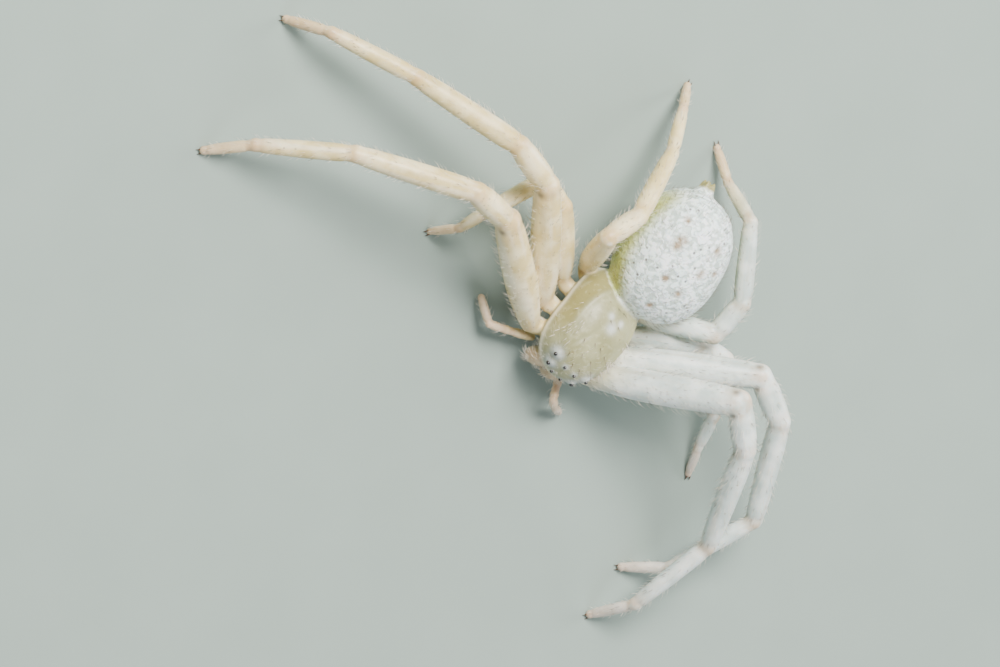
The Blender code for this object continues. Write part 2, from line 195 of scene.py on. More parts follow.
# The claws: their size, half the gap between a foot's two, and how high their roots stay.
CLAW_LENGTH = 0.15
CLAW_RADIUS = 0.026
CLAW_SPACING = 0.05
CLAW_LIFT = 0.06

# Hooks, for claws and fangs alike.
HOOK_SPLAY = 0.02
HOOK_STEPS = 9
HOOK_SIDES = 10

# Round segments: corners round, rings along, the smoothing of their profiles, and their ends.
SEGMENT_SIDES = 28
SEGMENT_RINGS = 18
PROFILE_WINDOW = 0.07
END_DOME = 0.85
DOME_ANGLES = (20, 40, 60, 80)

# How far the skin lies inside the solids, the step of its mesh, and rounds of smoothing.
SKIN_INSET = 0.012
SKIN_VOXEL = 0.042
SKIN_SMOOTHING = 9

# The highest knee's skin is squeezed from this height up, to stay within the solids' height.
KNEE_SQUEEZE_HEIGHT = 4.3
KNEE_SQUEEZE = 0.3

# The skin's relief.
CREASE_DEPTH = 0.014
WRINKLE_HEIGHT = 0.012
PIT_DEPTH = 0.03
GROOVE_DEPTH = 0.03
RIDGE_HEIGHT = 0.05
LUMP_HEIGHT = 0.022

FLESH_NODES = (
    "cephalothorax", "abdomen", "spinnerets", "chelicera_left", "chelicera_right",
    *POSES, *PALP_POSES,
)


# Geometry shared with the solids


UP = Vector((0, 0, 1))


def mirrored(place, side):
    """A place on the left side (side 1) or its twin on the right (side -1)."""
    return Vector((place[0] * side, place[1], place[2]))


def side_of(name):
    """1 for a piece on the left, -1 on the right."""
    return 1 if "left" in name else -1


def signed_power(value, power):
    """A power that keeps the sign of its base."""
    return math.copysign(abs(value) ** power, value)


def direction(side, sweep, rise):
    """A unit step from a pose's two angles, in degrees."""
    sweep = math.radians(sweep)
    rise = math.radians(rise)
    level = math.cos(rise)
    return Vector((side * level * math.cos(sweep), -level * math.sin(sweep), math.sin(rise)))


def carapace_mould(n):
    """The cephalothorax: steep broad face, domed back, and a narrower flat underside."""
    front = max(0.0, -n.y)
    back = max(0.0, n.y)
    under = max(0.0, -n.z)
    above = max(0.0, n.z)
    narrowing = (1.0 - 0.16 * front**2 + 0.16 * back**2) * (1.0 - 0.36 * under**0.8)
    x = CARAPACE_HALF_WIDTH * signed_power(n.x, 0.85) * narrowing
    y = CARAPACE_BACK * back**0.66 - CARAPACE_FRONT * front**0.6 * (1.0 - 0.3 * under)
    rise = (CARAPACE_TOP - RIM_HEIGHT) * above**0.9 * (1.0 - 0.25 * back)
    drop = (RIM_HEIGHT - STERNUM_HEIGHT) * under**0.7
    rim = RIM_HEIGHT - RIM_SLOPE * back
    return Vector((x, y, rim + rise - drop))


def on_carapace(across, along):
    """The point and the outward normal of the carapace above a direction on it."""

    def point(a, b):
        return carapace_mould(Vector((a, b, math.sqrt(max(0.0, 1.0 - a * a - b * b)))))

    step = 0.01
    place = point(across, along)
    sideways = point(across + step, along) - place
    backwards = point(across, along + step) - place
    return place, sideways.cross(backwards).normalized()


def abdomen_frame():
    """The turn of the abdomen's own axes."""
    turn = Matrix.Rotation(-math.radians(ABDOMEN_TURN), 3, "Z")
    return turn @ Matrix.Rotation(math.radians(ABDOMEN_RISE), 3, "X")


def abdomen_mould(n, grow=0.0):
    """The abdomen: broad and blunt, widest behind its middle, a little flat above."""
    across, along, up = (signed_power(part, power) for part, power in zip(n, ABDOMEN_POWERS))
    height = ABDOMEN_TOP if n.z > 0.0 else ABDOMEN_BOTTOM
    x = (ABDOMEN_HALF_WIDTH + grow) * across * (1.0 - 0.07 * n.y)
    y = (ABDOMEN_HALF_LENGTH + grow) * along
    z = (height + grow) * up * (1.0 + 0.08 * n.y)
    return Vector(ABDOMEN_CENTRE) + abdomen_frame() @ Vector((x, y, z))


def leg_joints(name):
    """The joints of a leg from its hip to its claws, with the foot on the floor."""
    sizes, sweeps, rises = POSES[name]
    side = side_of(name)
    joints = [mirrored(COXAE[int(name[-1]) - 1][1], side)]
    for length, sweep, rise in zip(sizes["lengths"], sweeps, rises):
        joints.append(joints[-1] + length * direction(side, sweep, rise))
    foot_height = sizes["radii"][-1] * TARSUS_PROFILE[-1][1] - FOOT_SINK
    reach = (foot_height - joints[-1].z) / sizes["lengths"][-1]
    last_rise = math.degrees(math.asin(max(-1.0, reach)))
    joints.append(joints[-1] + sizes["lengths"][-1] * direction(side, sweeps[-1], last_rise))
    return joints


def palp_joints(name):
    """The joints of a palp from its base to its tip."""
    side = side_of(name)
    joints = [mirrored(PALP_BASE, side)]
    for length, sweep, rise in zip(PALP_LENGTHS, *PALP_POSES[name]):
        joints.append(joints[-1] + length * direction(side, sweep, rise))
    return joints


def chelicera_mould(side):
    """The stout basal piece of a chelicera, leaning a little forward."""
    lean = Matrix.Rotation(math.radians(CHELICERA_LEAN), 3, "X")
    place = mirrored(CHELICERA_PLACE, side)
    return lambda n: place + lean @ Vector([a * b for a, b in zip(n, CHELICERA_SIZE)])


def eye_place(kind, side):
    """The middle of an eye, and the middle of its mound."""
    (across, along), radius, mound = EYES[kind]
    place, normal = on_carapace(across, along)
    middle = place - normal * mound * MOUND_SINK
    top = middle + normal * (mound - EYE_SINK * radius)
    return mirrored(top, side), mirrored(middle, side)


def spinneret_place():
    """The middle of the spinneret ring, and the turn of its axes with Y pointing out."""
    out = (abdomen_frame() @ Vector((0.0, 1.0, -0.12))).normalized()
    return abdomen_mould(Vector((0.0, 0.985, -0.17))), out.to_track_quat("Y", "Z").to_matrix()


# Segments: every round stretch of the legs and palps


Segment = namedtuple("Segment", "name kind start end profile radius")


def chain(name, kinds, joints, profiles, radii):
    """The segments between the joints of one leg or palp."""
    parts = zip(kinds, joints, joints[1:], profiles, radii)
    return [Segment(name, *part) for part in parts]


def all_segments():
    """Every leg segment, then every palp segment."""
    found = []
    for name, (sizes, _, _) in POSES.items():
        inner, outer = (mirrored(p, side_of(name)) for p in COXAE[int(name[-1]) - 1])
        found.append(Segment(name, "coxa", inner, outer, COXA_PROFILE, sizes["coxa_radius"]))
        found += chain(name, LEG_KINDS, leg_joints(name), LEG_PROFILES, sizes["radii"])
    for name in PALP_POSES:
        found += chain(name, PALP_KINDS, palp_joints(name), PALP_PROFILES, PALP_RADII)
    return found


def long_femurs():
    """The femurs of the two long front pairs of legs."""
    return [part for part in all_segments() if part.kind == "femur" and part.name[-1] in "12"]


def profile_radius(profile, place):
    """A profile's share of the widest radius, smoothed where it bends."""
    places, shares = zip(*profile)
    near = [np.interp(np.clip(place + step * PROFILE_WINDOW / 2, 0.0, 1.0), places, shares)
            for step in (-2, -1, 0, 1, 2)]
    return np.mean(near, axis=0)


# Mesh making


class Shell:
    """Vertices and faces gathered from many closed forms."""

    def __init__(self):
        self.places = []
        self.faces = []

    def add(self, places, faces):
        """One more closed form."""
        base = len(self.places)
        self.places += [tuple(place) for place in places]
        self.faces += [tuple(base + index for index in face) for face in faces]

    def mesh(self, name):
        """All of it as one mesh, in millimetres."""
        made = bpy.data.meshes.new(name)
        made.from_pydata(self.places, [], self.faces)
        made.update()
        return made


def ball_faces(segments, rings):
    """Faces of a ball whose places are a top pole, rings from the top, and a bottom pole."""
    faces = []
    last = 1 + (rings - 1) * segments
    for i in range(segments):
        j = (i + 1) % segments
        faces.append((0, 1 + i, 1 + j))
        for ring in range(rings - 2):
            a = 1 + ring * segments
            faces.append((a + i, a + segments + i, a + segments + j, a + j))
        a = 1 + (rings - 2) * segments
        faces.append((a + i, last, a + j))
    return faces


def ball(mould, segments, rings):
    """Places and faces of a ball whose every direction is moved by a mould."""
    places = [mould(UP)]
    for ring in range(1, rings):
        down = math.pi * ring / rings
        level = math.sin(down)
        for step in range(segments):
            turn = math.tau * step / segments
            places.append(
                mould(Vector((level * math.cos(turn), level * math.sin(turn), math.cos(down))))
            )
    places.append(mould(-UP))
    return places, ball_faces(segments, rings)


def ellipsoid(centre, size, turn=Matrix.Identity(3), segments=20, rings=12):
    """A ball stretched along its own axes, turned and placed."""
    return ball(
        lambda n: centre + turn @ Vector([a * b for a, b in zip(n, size)]), segments, rings
    )


def swept_tube(centres, radii, sides):
    """Places and faces of a closed round tube along a path, pointed at both ends."""
    places = [centres[0]]
    across = None
    for number, (centre, radius) in enumerate(zip(centres, radii)):
        before = centres[max(0, number - 1)]
        after = centres[min(len(centres) - 1, number + 1)]
        axis = (after - before).normalized()
        if across is None:
            across = axis.orthogonal().normalized()
        across = (across - axis * across.dot(axis)).normalized()
        other = axis.cross(across)
        for step in range(sides):
            turn = math.tau * step / sides
            places.append(centre + (across * math.cos(turn) + other * math.sin(turn)) * radius)
    places.append(centres[-1])
    inside_out = ball_faces(sides, len(centres) + 1)
    return places, [(face[0], *face[:0:-1]) for face in inside_out]


def round_segment(start, end, profile, radius, inset=0.0):
    """A closed segment between two joints, with rounded ends."""
    start = Vector(start)
    axis = Vector(end) - start
    length = axis.length
    axis = axis.normalized()

    def width_at(share):
        return profile_radius(profile, share) * radius - inset

    def dome(share, sign, angles):
        width = width_at(share)
        return [(share * length + sign * END_DOME * width * math.sin(math.radians(angle)),
                 width * math.cos(math.radians(angle))) for angle in angles]

    body = [(share * length, width_at(share)) for share in np.linspace(0.0, 1.0, SEGMENT_RINGS)]
    outline = dome(0.0, -1, DOME_ANGLES[::-1]) + body + dome(1.0, 1, DOME_ANGLES)
    return swept_tube([start + axis * along for along, _ in outline],
                      [width for _, width in outline], SEGMENT_SIDES)


def metre_place(place):
    """A place in the animal's frame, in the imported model's metres."""
    return (np.array(place) + BODY_PLACE) * TO_METRES


def linked(name, data):
    """A new object in the scene."""
    made = bpy.data.objects.new(name, data)
    bpy.context.scene.collection.objects.link(made)
    return made


def placed(name, mesh, material):
    """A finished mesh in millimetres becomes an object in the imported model's frame."""
    mesh.transform(Matrix.Scale(TO_METRES, 4) @ Matrix.Translation(BODY_PLACE))
    mesh.shade_smooth()
    mesh.materials.append(material)
    return linked(name, mesh)


# The skin


def skin_forms():
    """Every closed form of the flesh."""
    shell = Shell()
    shell.add(*ball(carapace_mould, 72, 48))
    shell.add(*ball(lambda n: abdomen_mould(n, -SKIN_INSET), 72, 48))
    shell.add(*round_segment(PEDICEL_START, PEDICEL_END, SHORT_PROFILE, PEDICEL_RADIUS))
    for side in (1, -1):
        for kind, (_, _, mound) in EYES.items():
            shell.add(*ellipsoid(eye_place(kind, side)[1], (mound,) * 3))
        ends = [eye_place(kind, side)[1] for kind in ("anterior_lateral", "posterior_lateral")]
        shell.add(*round_segment(*ends, SHORT_PROFILE, EYE_RIDGE_RADIUS))
        shell.add(*ellipsoid(mirrored(ENDITE_PLACE, side), ENDITE_SIZE))
        shell.add(*ball(chelicera_mould(side), 28, 20))
    for segment in all_segments():
        shell.add(*round_segment(*segment[2:], SKIN_INSET))
    place, turn = spinneret_place()
    shell.add(*ellipsoid(place, SPINNERET_RING, turn))
    for across, up, share in SPINNERET_ROWS:
        for side in (1, -1):
            root = place + turn @ Vector((across * side, SPINNERET_SINK, up))
            reach = Vector((-SPINNERET_LEAN * side, SPINNERET_LENGTH * share, 0.0))
            tip = root + turn @ reach
            shell.add(*round_segment(root, tip, SPINNERET_PROFILE, SPINNERET_RADIUS * share))
    root = place + turn @ Vector(TUBERCLE_ROOT)
    tip = root + turn @ Vector(TUBERCLE_REACH)
    shell.add(*round_segment(root, tip, SPINNERET_PROFILE, SPINNERET_RADIUS))
    return shell


def fused(mesh):
    """One smooth closed surface round all the forms of a mesh."""
    holder = linked("fused", mesh)
    remesh = holder.modifiers.new("remesh", "REMESH")
    remesh.mode = "VOXEL"
    remesh.voxel_size = SKIN_VOXEL
    smooth = holder.modifiers.new("smooth", "SMOOTH")
    smooth.factor = 0.5
    smooth.iterations = SKIN_SMOOTHING
    evaluated = holder.evaluated_get(bpy.context.evaluated_depsgraph_get())
    made = bpy.data.meshes.new_from_object(evaluated)
    bpy.data.objects.remove(holder)
    return made


def vectors_of(items, name):
    """One vector of each of a mesh's items, as an array."""
    values = np.zeros(len(items) * 3)
    items.foreach_get(name, values)
    return values.reshape(-1, 3)


def bell(distance, width):
    """A soft spot that is 1 at no distance and fades over a width."""
    return np.exp(-((distance / width) ** 2))


def soft_step(value, low, high):
    """A smooth rise from 0 at low to 1 at high."""
    share = np.clip((value - low) / (high - low), 0.0, 1.0)
    return share * share * (3.0 - 2.0 * share)


def segment_measures(places):
    """For every place: the gap to its nearest segment, that segment's number, how far along
    it the place lies, and how many radii off a joint is."""
    nearest = np.full(len(places), np.inf)
    owner = np.zeros(len(places), int)
    along = np.zeros(len(places))
    joint = np.full(len(places), np.inf)
    for number, segment in enumerate(all_segments()):
        start, end = np.array(segment.start), np.array(segment.end)
        axis = end - start
        length = np.linalg.norm(axis)
        share = np.clip((places - start) @ axis / length**2, 0.0, 1.0)
        off = np.linalg.norm(places - start - share[:, None] * axis, axis=1)
        gap = off - profile_radius(segment.profile, share) * segment.radius
        better = gap < nearest
        nearest[better] = gap[better]
        owner[better] = number
        along[better] = share[better]
        joint = np.minimum(joint, np.linalg.norm(places - end, axis=1) / segment.radius)
    return nearest, owner, along, joint


def abdomen_measures(places):
    """Places in the abdomen's own axes, as shares of its half sizes."""
    turn = np.array(abdomen_frame())
    own = (places - np.array(ABDOMEN_CENTRE)) @ turn
    return own / np.array([ABDOMEN_HALF_WIDTH, ABDOMEN_HALF_LENGTH, ABDOMEN_TOP])


# The pits on the abdomen's back: how far across and along it, and their size in millimetres.
SIGILLA = (
    (-0.5, 0.18, 0.15), (-0.47, 0.27, 0.15), (0.28, 0.4, 0.12),
    (-0.36, -0.3, 0.11), (0.2, 0.0, 0.12), (-0.2, -0.75, 0.09),
    (0.05, -0.4, 0.11), (-0.53, 0.56, 0.09), (0.5, 0.1, 0.1),
)

# The painted highlight's milky spots on the carapace: their places across and along, and their
# size.
HIGHLIGHT_SPOTS = ((0.0, 0.24, 0.17), (0.2, 0.5, 0.1), (-0.2, 0.5, 0.1))

# How far the pale skin reaches round a lateral and a median eye.
LATERAL_PATCH = 0.19
MEDIAN_PATCH = 0.09


def skin_marks(mesh):
    """Measure the skin and store where each colour goes, as one number per vertex."""
    places = vectors_of(mesh.vertices, "co")
    gap, owner, along, joint = segment_measures(places)
    own = abdomen_measures(places)
    radial = np.linalg.norm(np.abs(own) ** (1.0 / np.array(ABDOMEN_POWERS)), axis=1)
    behind = soft_step(places[:, 1], 0.85, 1.1)
    on_leg = soft_step(-gap, -0.1, -0.02)
    abdomen = soft_step(-radial, -1.11, -1.05) * behind * (1.0 - on_leg * (radial > 1.04))
    blush = skin_blush(places, owner, along, on_leg)
    on_body = (1.0 - abdomen) * (1.0 - on_leg)
    marks = {
        "abdomen": abdomen,
        "blush": blush,
        "carapace": on_body * (1.0 - blush),
        "joint": bell(joint - 0.3, 0.7) * on_leg,
        "streak": leg_streaks(places, owner, along) * on_leg,
        "condyle": condyle_spots(places),
        "left": soft_step(places[:, 0], 0.6, 2.0) * on_leg,
        # Painted rim light along the carapace's edge.
        "rim": carapace_rim_light(places) * on_body,
        # Painted shade on the slopes round the carapace's flat top.
        "band": carapace_slope_shade(places) * on_body,
        "eye_patch": eye_patches(places) * (1.0 - on_leg),
        "highlight": carapace_highlight(places) * on_body,
        "green": abdomen_green(own) * abdomen,
        "sigilla": sigilla_marks(own, places) * abdomen,
    }
    for name, values in marks.items():
        attribute = mesh.attributes.new(name, "FLOAT", "POINT")
        attribute.data.foreach_set("value", values.astype(np.float32))
    return places, own, abdomen, joint, on_leg


def skin_blush(places, owner, along, on_leg):
    """The pinkish tone of the feet, the palps and the face."""
    segments = all_segments()
    kinds = np.array([segment.kind for segment in segments])[owner]
    is_palp = np.array([segment.name.startswith("palp") for segment in segments])[owner]
    foot = np.where(kinds == "tarsus", 0.55 + 0.45 * along, 0.0)
    ankle = np.where(kinds == "metatarsus", 0.45 * soft_step(along, 0.55, 1.0), 0.0)
    palp = np.where(is_palp, 0.35 + 0.65 * (kinds == "tarsus"), 0.0)
    face = soft_step(-places[:, 1], 1.35, 1.6) * soft_step(-places[:, 2], -1.75, -1.4)
    face *= 1.0 - on_leg * ~is_palp
    return np.maximum(np.maximum(np.maximum(foot, ankle), palp) * on_leg, face)


def leg_streaks(places, owner, along):
    """Fine pale and dark lines that run along each leg segment."""
    segments = all_segments()
    starts = np.array([segment.start for segment in segments])[owner]
    axes = np.array([segment.end - segment.start for segment in segments])[owner]
    lengths = np.linalg.norm(axes, axis=1)
    off = places - starts - along[:, None] * axes
    spots = off * 5.0 + (axes / lengths[:, None]) * (along * lengths * 0.45 + owner)[:, None]
    return np.array([0.5 + 0.5 * noise.noise(Vector(spot)) for spot in spots])


def condyle_spots(places):
    """The small dark hinge mark on each side of a knee of the long legs."""
    spots = np.zeros(len(places))
    for femur in long_femurs():
        axis = (femur.end - femur.start).normalized()
        across = axis.cross(UP).normalized()
        lift = across.cross(axis)
        for side in (1, -1):
            off = (across * side * 0.7 + lift * 0.4) * femur.radius
            spot = np.array(femur.end - axis * 0.1 + off)
            spots = np.maximum(spots, bell(np.linalg.norm(places - spot, axis=1), 0.11))
    return spots


def carapace_rim_light(places):
    """Painted rim light: the bright thin edge round the carapace."""
    height = RIM_HEIGHT - RIM_SLOPE * np.clip(places[:, 1] / CARAPACE_BACK, 0.0, 1.0)
    return bell(places[:, 2] - height - 0.06, 0.1)


def plateau_distance(places):
    """How far out from the middle of the carapace's flat top: its edge is at about 0.8."""
    along = places[:, 1] / np.where(places[:, 1] > 0.0, CARAPACE_BACK, CARAPACE_FRONT * 1.6)
    return np.hypot(places[:, 0] / CARAPACE_HALF_WIDTH, along)


def carapace_slope_shade(places):
    """Painted shade: the olive slope round the rear and the sides of the carapace's flat top."""
    return soft_step(plateau_distance(places), 0.78, 0.88) * soft_step(places[:, 1], -1.0, -0.2)


def eye_patches(places):
    """The pale bluish skin round the eyes."""
    patch = np.zeros(len(places))
    for kind in EYES:
        for side in (1, -1):
            middle = np.array(eye_place(kind, side)[1])
            reach = LATERAL_PATCH if "lateral" in kind else MEDIAN_PATCH
            patch = np.maximum(patch, bell(np.linalg.norm(places - middle, axis=1), reach))
    return patch


def carapace_highlight(places):
    """A painted highlight: the milky patch at the back of the carapace's flat top."""
    marks = np.zeros(len(places))
    for across, along, size in HIGHLIGHT_SPOTS:
        off = np.hypot(places[:, 0] - across, places[:, 1] - along)
        marks = np.maximum(marks, bell(off, size))
    return 0.6 * marks * soft_step(places[:, 2], 1.9, 2.2)


def abdomen_green(own):
    """The clear greenish lower flanks of the abdomen."""
    side = 0.1 + 0.9 * soft_step(np.abs(own[:, 0]), 0.45, 0.75)
    flank = soft_step(-own[:, 2], -0.55, -0.05) * side
    return flank * (1.0 - 0.4 * soft_step(own[:, 1], 0.5, 0.9))


def sigilla_marks(own, places):
    """The small brown pits on the abdomen's back."""
    marks = np.zeros(len(own))
    half = np.array([ABDOMEN_HALF_WIDTH, ABDOMEN_HALF_LENGTH])
    for across, along, size in SIGILLA:
        off = (own[:, :2] - (across, along)) * half
        marks = np.maximum(marks, bell(np.linalg.norm(off, axis=1), size))
    ragged = np.array([noise.noise(Vector(place) * 7.0) for place in places[marks > 0.02]])
    marks[marks > 0.02] *= 1.1 + 0.9 * ragged
    return np.clip(marks, 0.0, 1.0) * (own[:, 2] > 0.2)


def skin_relief(mesh, places, own, abdomen, joint, on_leg):
    """Move the skin in and out for creases, wrinkles, grooves and lumps."""
    normals = vectors_of(mesh.vertex_normals, "vector")
    x, y, z = places.T
    relief = -CREASE_DEPTH * bell(joint - 0.95, 0.2) * on_leg
    rear = np.linalg.norm((own - (0.0, 0.97, -0.15)) * (1.4, 2.0, 1.4), axis=1)
    wrinkles = np.sin(rear * 24.0) * bell(rear - 0.55, 0.5)
    relief += WRINKLE_HEIGHT * wrinkles * abdomen
    relief -= PIT_DEPTH * sigilla_marks(own, places) * abdomen
    groove = bell(np.abs(x) - 0.42 - 0.4 * (-y - 0.35), 0.08)
    groove *= soft_step(z, 1.7, 2.1) * bell(y + 0.55, 0.4)
    ridge = bell(plateau_distance(places) - 0.79, 0.07) * soft_step(y, -0.9, -0.2)
    ridge *= soft_step(z, 1.7, 2.0)
    carapace_relief = RIDGE_HEIGHT * ridge - GROOVE_DEPTH * groove
    relief += carapace_relief * (1.0 - abdomen) * (1.0 - on_leg)
    lumps = np.array([noise.noise(Vector(place) * 2.1) for place in places[abdomen > 0.5]])
    relief[abdomen > 0.5] += LUMP_HEIGHT * lumps
    moved = places + normals * relief[:, None]
    moved[:, 2] = np.maximum(moved[:, 2], 0.0)
    above = np.maximum(moved[:, 2] - KNEE_SQUEEZE_HEIGHT, 0.0)
    moved[:, 2] -= KNEE_SQUEEZE * above
    mesh.vertices.foreach_set("co", moved.ravel())
    mesh.update()


def make_skin():
    """One skin over the whole animal."""
    mesh = fused(skin_forms().mesh("skin_forms"))
    mesh.name = "skin"
    skin_relief(mesh, *skin_marks(mesh))
    skin = placed("skin", mesh, skin_material())
    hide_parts(*FLESH_NODES)
    return skin


# Materials


# Colours in linear light. Where there are two, clouds or noise mix them.
CREAM = ((0.66, 0.52, 0.22), (0.82, 0.7, 0.4))
BLUISH = ((0.5, 0.58, 0.54), (0.72, 0.77, 0.73))
PALE_STREAK = (0.95, 0.92, 0.82)
DARK_STREAK = (0.42, 0.36, 0.24)
JOINT_BROWN = (0.56, 0.35, 0.17)
DOT_BROWN = (0.3, 0.24, 0.15)
CONDYLE_BROWN = (0.13, 0.09, 0.05)
SHIELD_GREEN = ((0.27, 0.26, 0.12), (0.36, 0.35, 0.19))
# Painted shade on the carapace's sloping sides.
SHIELD_SLOPE_SHADE = (0.27, 0.24, 0.08)
SHIELD_GRAIN = (0.58, 0.55, 0.36)
SHIELD_PIT = (0.2, 0.14, 0.05)
# The painted highlight's milky white.
MILKY_HIGHLIGHT = (0.72, 0.76, 0.76)
# Painted rim light along the carapace's thin edge.
RIM_LIGHT_CREAM = (0.86, 0.83, 0.66)
CHALK = ((0.8, 0.9, 0.87), (0.95, 0.99, 0.98))
GRAIN_GAP = (0.3, 0.38, 0.31)
ABDOMEN_SPECK = (0.07, 0.06, 0.05)
SIGILLA_BROWN = (0.3, 0.2, 0.1)
FLANK_GREEN = ((0.4, 0.42, 0.04), (0.52, 0.55, 0.14))
BLUSH_PINK = ((0.66, 0.46, 0.33), (0.48, 0.31, 0.21))
EYE_SKIN = (0.6, 0.68, 0.8)
LENS_BLACK = ((0.004, 0.004, 0.005), (0.02, 0.012, 0.008))
HORN_BROWN = ((0.05, 0.022, 0.01), (0.12, 0.06, 0.03))
PALE_HAIR = ((0.7, 0.6, 0.44), (0.92, 0.88, 0.78))
DARK_HAIR = ((0.06, 0.04, 0.02), (0.16, 0.1, 0.06))
FLOOR_GREY = ((0.25, 0.31, 0.27), (0.28, 0.34, 0.3))


class Nodes:
    """A material's node tree, with short calls for the nodes used here."""

    def __init__(self, name):
        self.material = bpy.data.materials.new(name)
        self.material.use_nodes = True
        self.tree = self.material.node_tree
        self.shader = self.tree.nodes["Principled BSDF"]
        self.place = self.vector("SCALE", self.new("TexCoord").outputs["Object"],
                                 scale=1.0 / TO_METRES)

    def link(self, source, socket):
        """Join an output to an input, or set a plain value."""
        if isinstance(source, bpy.types.NodeSocket):
            self.tree.links.new(source, socket)
        elif source is not None:
            socket.default_value = source

    def fill(self, node, values):
        """Links and plain values on a node's named inputs."""
        for name, value in values.items():
            self.link(value, node.inputs[name.replace("_", " ")])
        return node

    def new(self, kind, **values):
        """A new node with its inputs filled."""
        return self.fill(self.tree.nodes.new("ShaderNode" + kind), values)

    def set(self, **values):
        """Links and plain values on the shader's own inputs."""
        self.fill(self.shader, values)

    def vector(self, operation, first, second=None, scale=None):
        """A calculation with vectors."""
        node = self.new("VectorMath")
        node.operation = operation
        self.link(first, node.inputs[0])
        self.link(second, node.inputs[1])
        if scale is not None:
            node.inputs["Scale"].default_value = scale
        return node.outputs[0]

    def math(self, operation, first, second):
        """A calculation with numbers."""
        node = self.new("Math")
        node.operation = operation
        self.link(first, node.inputs[0])
        self.link(second, node.inputs[1])
        return node.outputs[0]

    def mark(self, name):
        """A number stored on the skin."""
        node = self.new("Attribute")
        node.attribute_name = name
        return node.outputs["Fac"]

    def noise(self, scale, detail=3.0):
        """Cloudy noise, with its scale in cells per millimetre."""
        return self.new("TexNoise", Vector=self.place, Scale=scale, Detail=detail).outputs["Fac"]

    def cells(self, scale, feature="F1", place=None):
        """The distance from the middle of each cell of a cell texture."""
        node = self.new("TexVoronoi", Vector=place or self.place, Scale=scale)
        node.feature = feature
        return node.outputs["Distance"]

    def steps(self, value, low, high):
        """A smooth rise from 0 to 1 between two values."""
        node = self.new("MapRange", Value=value, From_Min=low, From_Max=high)
        node.interpolation_type = "SMOOTHSTEP"
        return node.outputs["Result"]

    def mix(self, share, first, second):
        """A mix of two colours."""
        node = self.new("Mix")
        node.data_type = "RGBA"
        self.link(share, node.inputs["Factor"])
        for colour, place in ((first, 6), (second, 7)):
            plain = not isinstance(colour, bpy.types.NodeSocket)
            self.link((*colour, 1.0) if plain else colour, node.inputs[place])
        return node.outputs[2]

    def tint(self, base, mask, strength, colour):
        """The base colour with another laid over it where a mask says, at some strength."""
        return self.mix(self.math("MULTIPLY", mask, strength), base, colour)

    def bump(self, height, distance, strength, under=None):
        """A bump whose distance is in millimetres."""
        node = self.new("Bump", Height=height, Distance=distance * TO_METRES, Strength=strength,
                        Normal=under)
        return node.outputs["Normal"]


def speck(n, scale, low, high):
    """Small round specks, one in each cell of a size given in cells per millimetre."""
    return n.math("SUBTRACT", 1.0, n.steps(n.cells(scale), low, high))


def leg_colour(n, clouds):
    """Cream on the right, bluish white on the left, browner at the joints."""
    legs = n.mix(n.mark("left"), n.mix(clouds, *CREAM), n.mix(clouds, *BLUISH))
    legs = n.tint(legs, n.steps(n.mark("streak"), 0.45, 0.75), 0.3, PALE_STREAK)
    lines = n.math("SUBTRACT", 1.0, n.steps(n.mark("streak"), 0.2, 0.4))
    legs = n.tint(legs, lines, 0.3, DARK_STREAK)
    joints = n.math("MULTIPLY", n.mark("joint"), n.steps(n.noise(2.4, 4.0), 0.32, 0.62))
    legs = n.tint(legs, joints, 0.8, JOINT_BROWN)
    legs = n.tint(legs, speck(n, 3.1, 0.06, 0.13), 0.55, DOT_BROWN)
    return n.tint(legs, n.mark("condyle"), 0.75, CONDYLE_BROWN)


def carapace_colour(n, clouds):
    """Greenish cream with painted shade on the olive sides, a painted rim light along the bright
    rim, pits, and a painted highlight in pale milky patches.
    """
    shield = n.mix(clouds, *SHIELD_GREEN)
    # Painted shade: olive on the slopes round the carapace's flat top.
    shield = n.tint(shield, n.mark("band"), 0.85, SHIELD_SLOPE_SHADE)
    shield = n.tint(shield, n.steps(n.noise(7.0, 5.0), 0.52, 0.7), 0.3, SHIELD_GRAIN)
    shield = n.tint(shield, speck(n, 3.6, 0.07, 0.14), 0.6, SHIELD_PIT)
    # Painted highlight: milky white on the carapace's top.
    shield = n.mix(n.mark("highlight"), shield, MILKY_HIGHLIGHT)
    # Painted rim light: cream along the carapace's thin edge.
    return n.tint(shield, n.mark("rim"), 0.8, RIM_LIGHT_CREAM)


def abdomen_colour(n):
    """White grains, dark specks, brown pits and green flanks, and where the grains' gaps are."""
    wobble = n.vector("ADD", n.place, n.vector("SCALE", n.noise(5.0), scale=0.3))
    grains = n.cells(8.5, "SMOOTH_F1", wobble)
    gaps = n.steps(n.math("ADD", grains, n.math("MULTIPLY", n.noise(9.0, 4.0), 0.5)), 0.55, 0.88)
    clouds = n.steps(n.noise(2.2, 4.0), 0.4, 0.66)
    white = n.mix(clouds, *CHALK)
    white = n.tint(white, gaps, 0.6, GRAIN_GAP)
    white = n.tint(white, speck(n, 3.3, 0.08, 0.17), 0.85, ABDOMEN_SPECK)
    white = n.tint(white, n.mark("sigilla"), 0.95, SIGILLA_BROWN)
    return n.tint(white, n.mark("green"), 0.9, n.mix(clouds, *FLANK_GREEN)), gaps


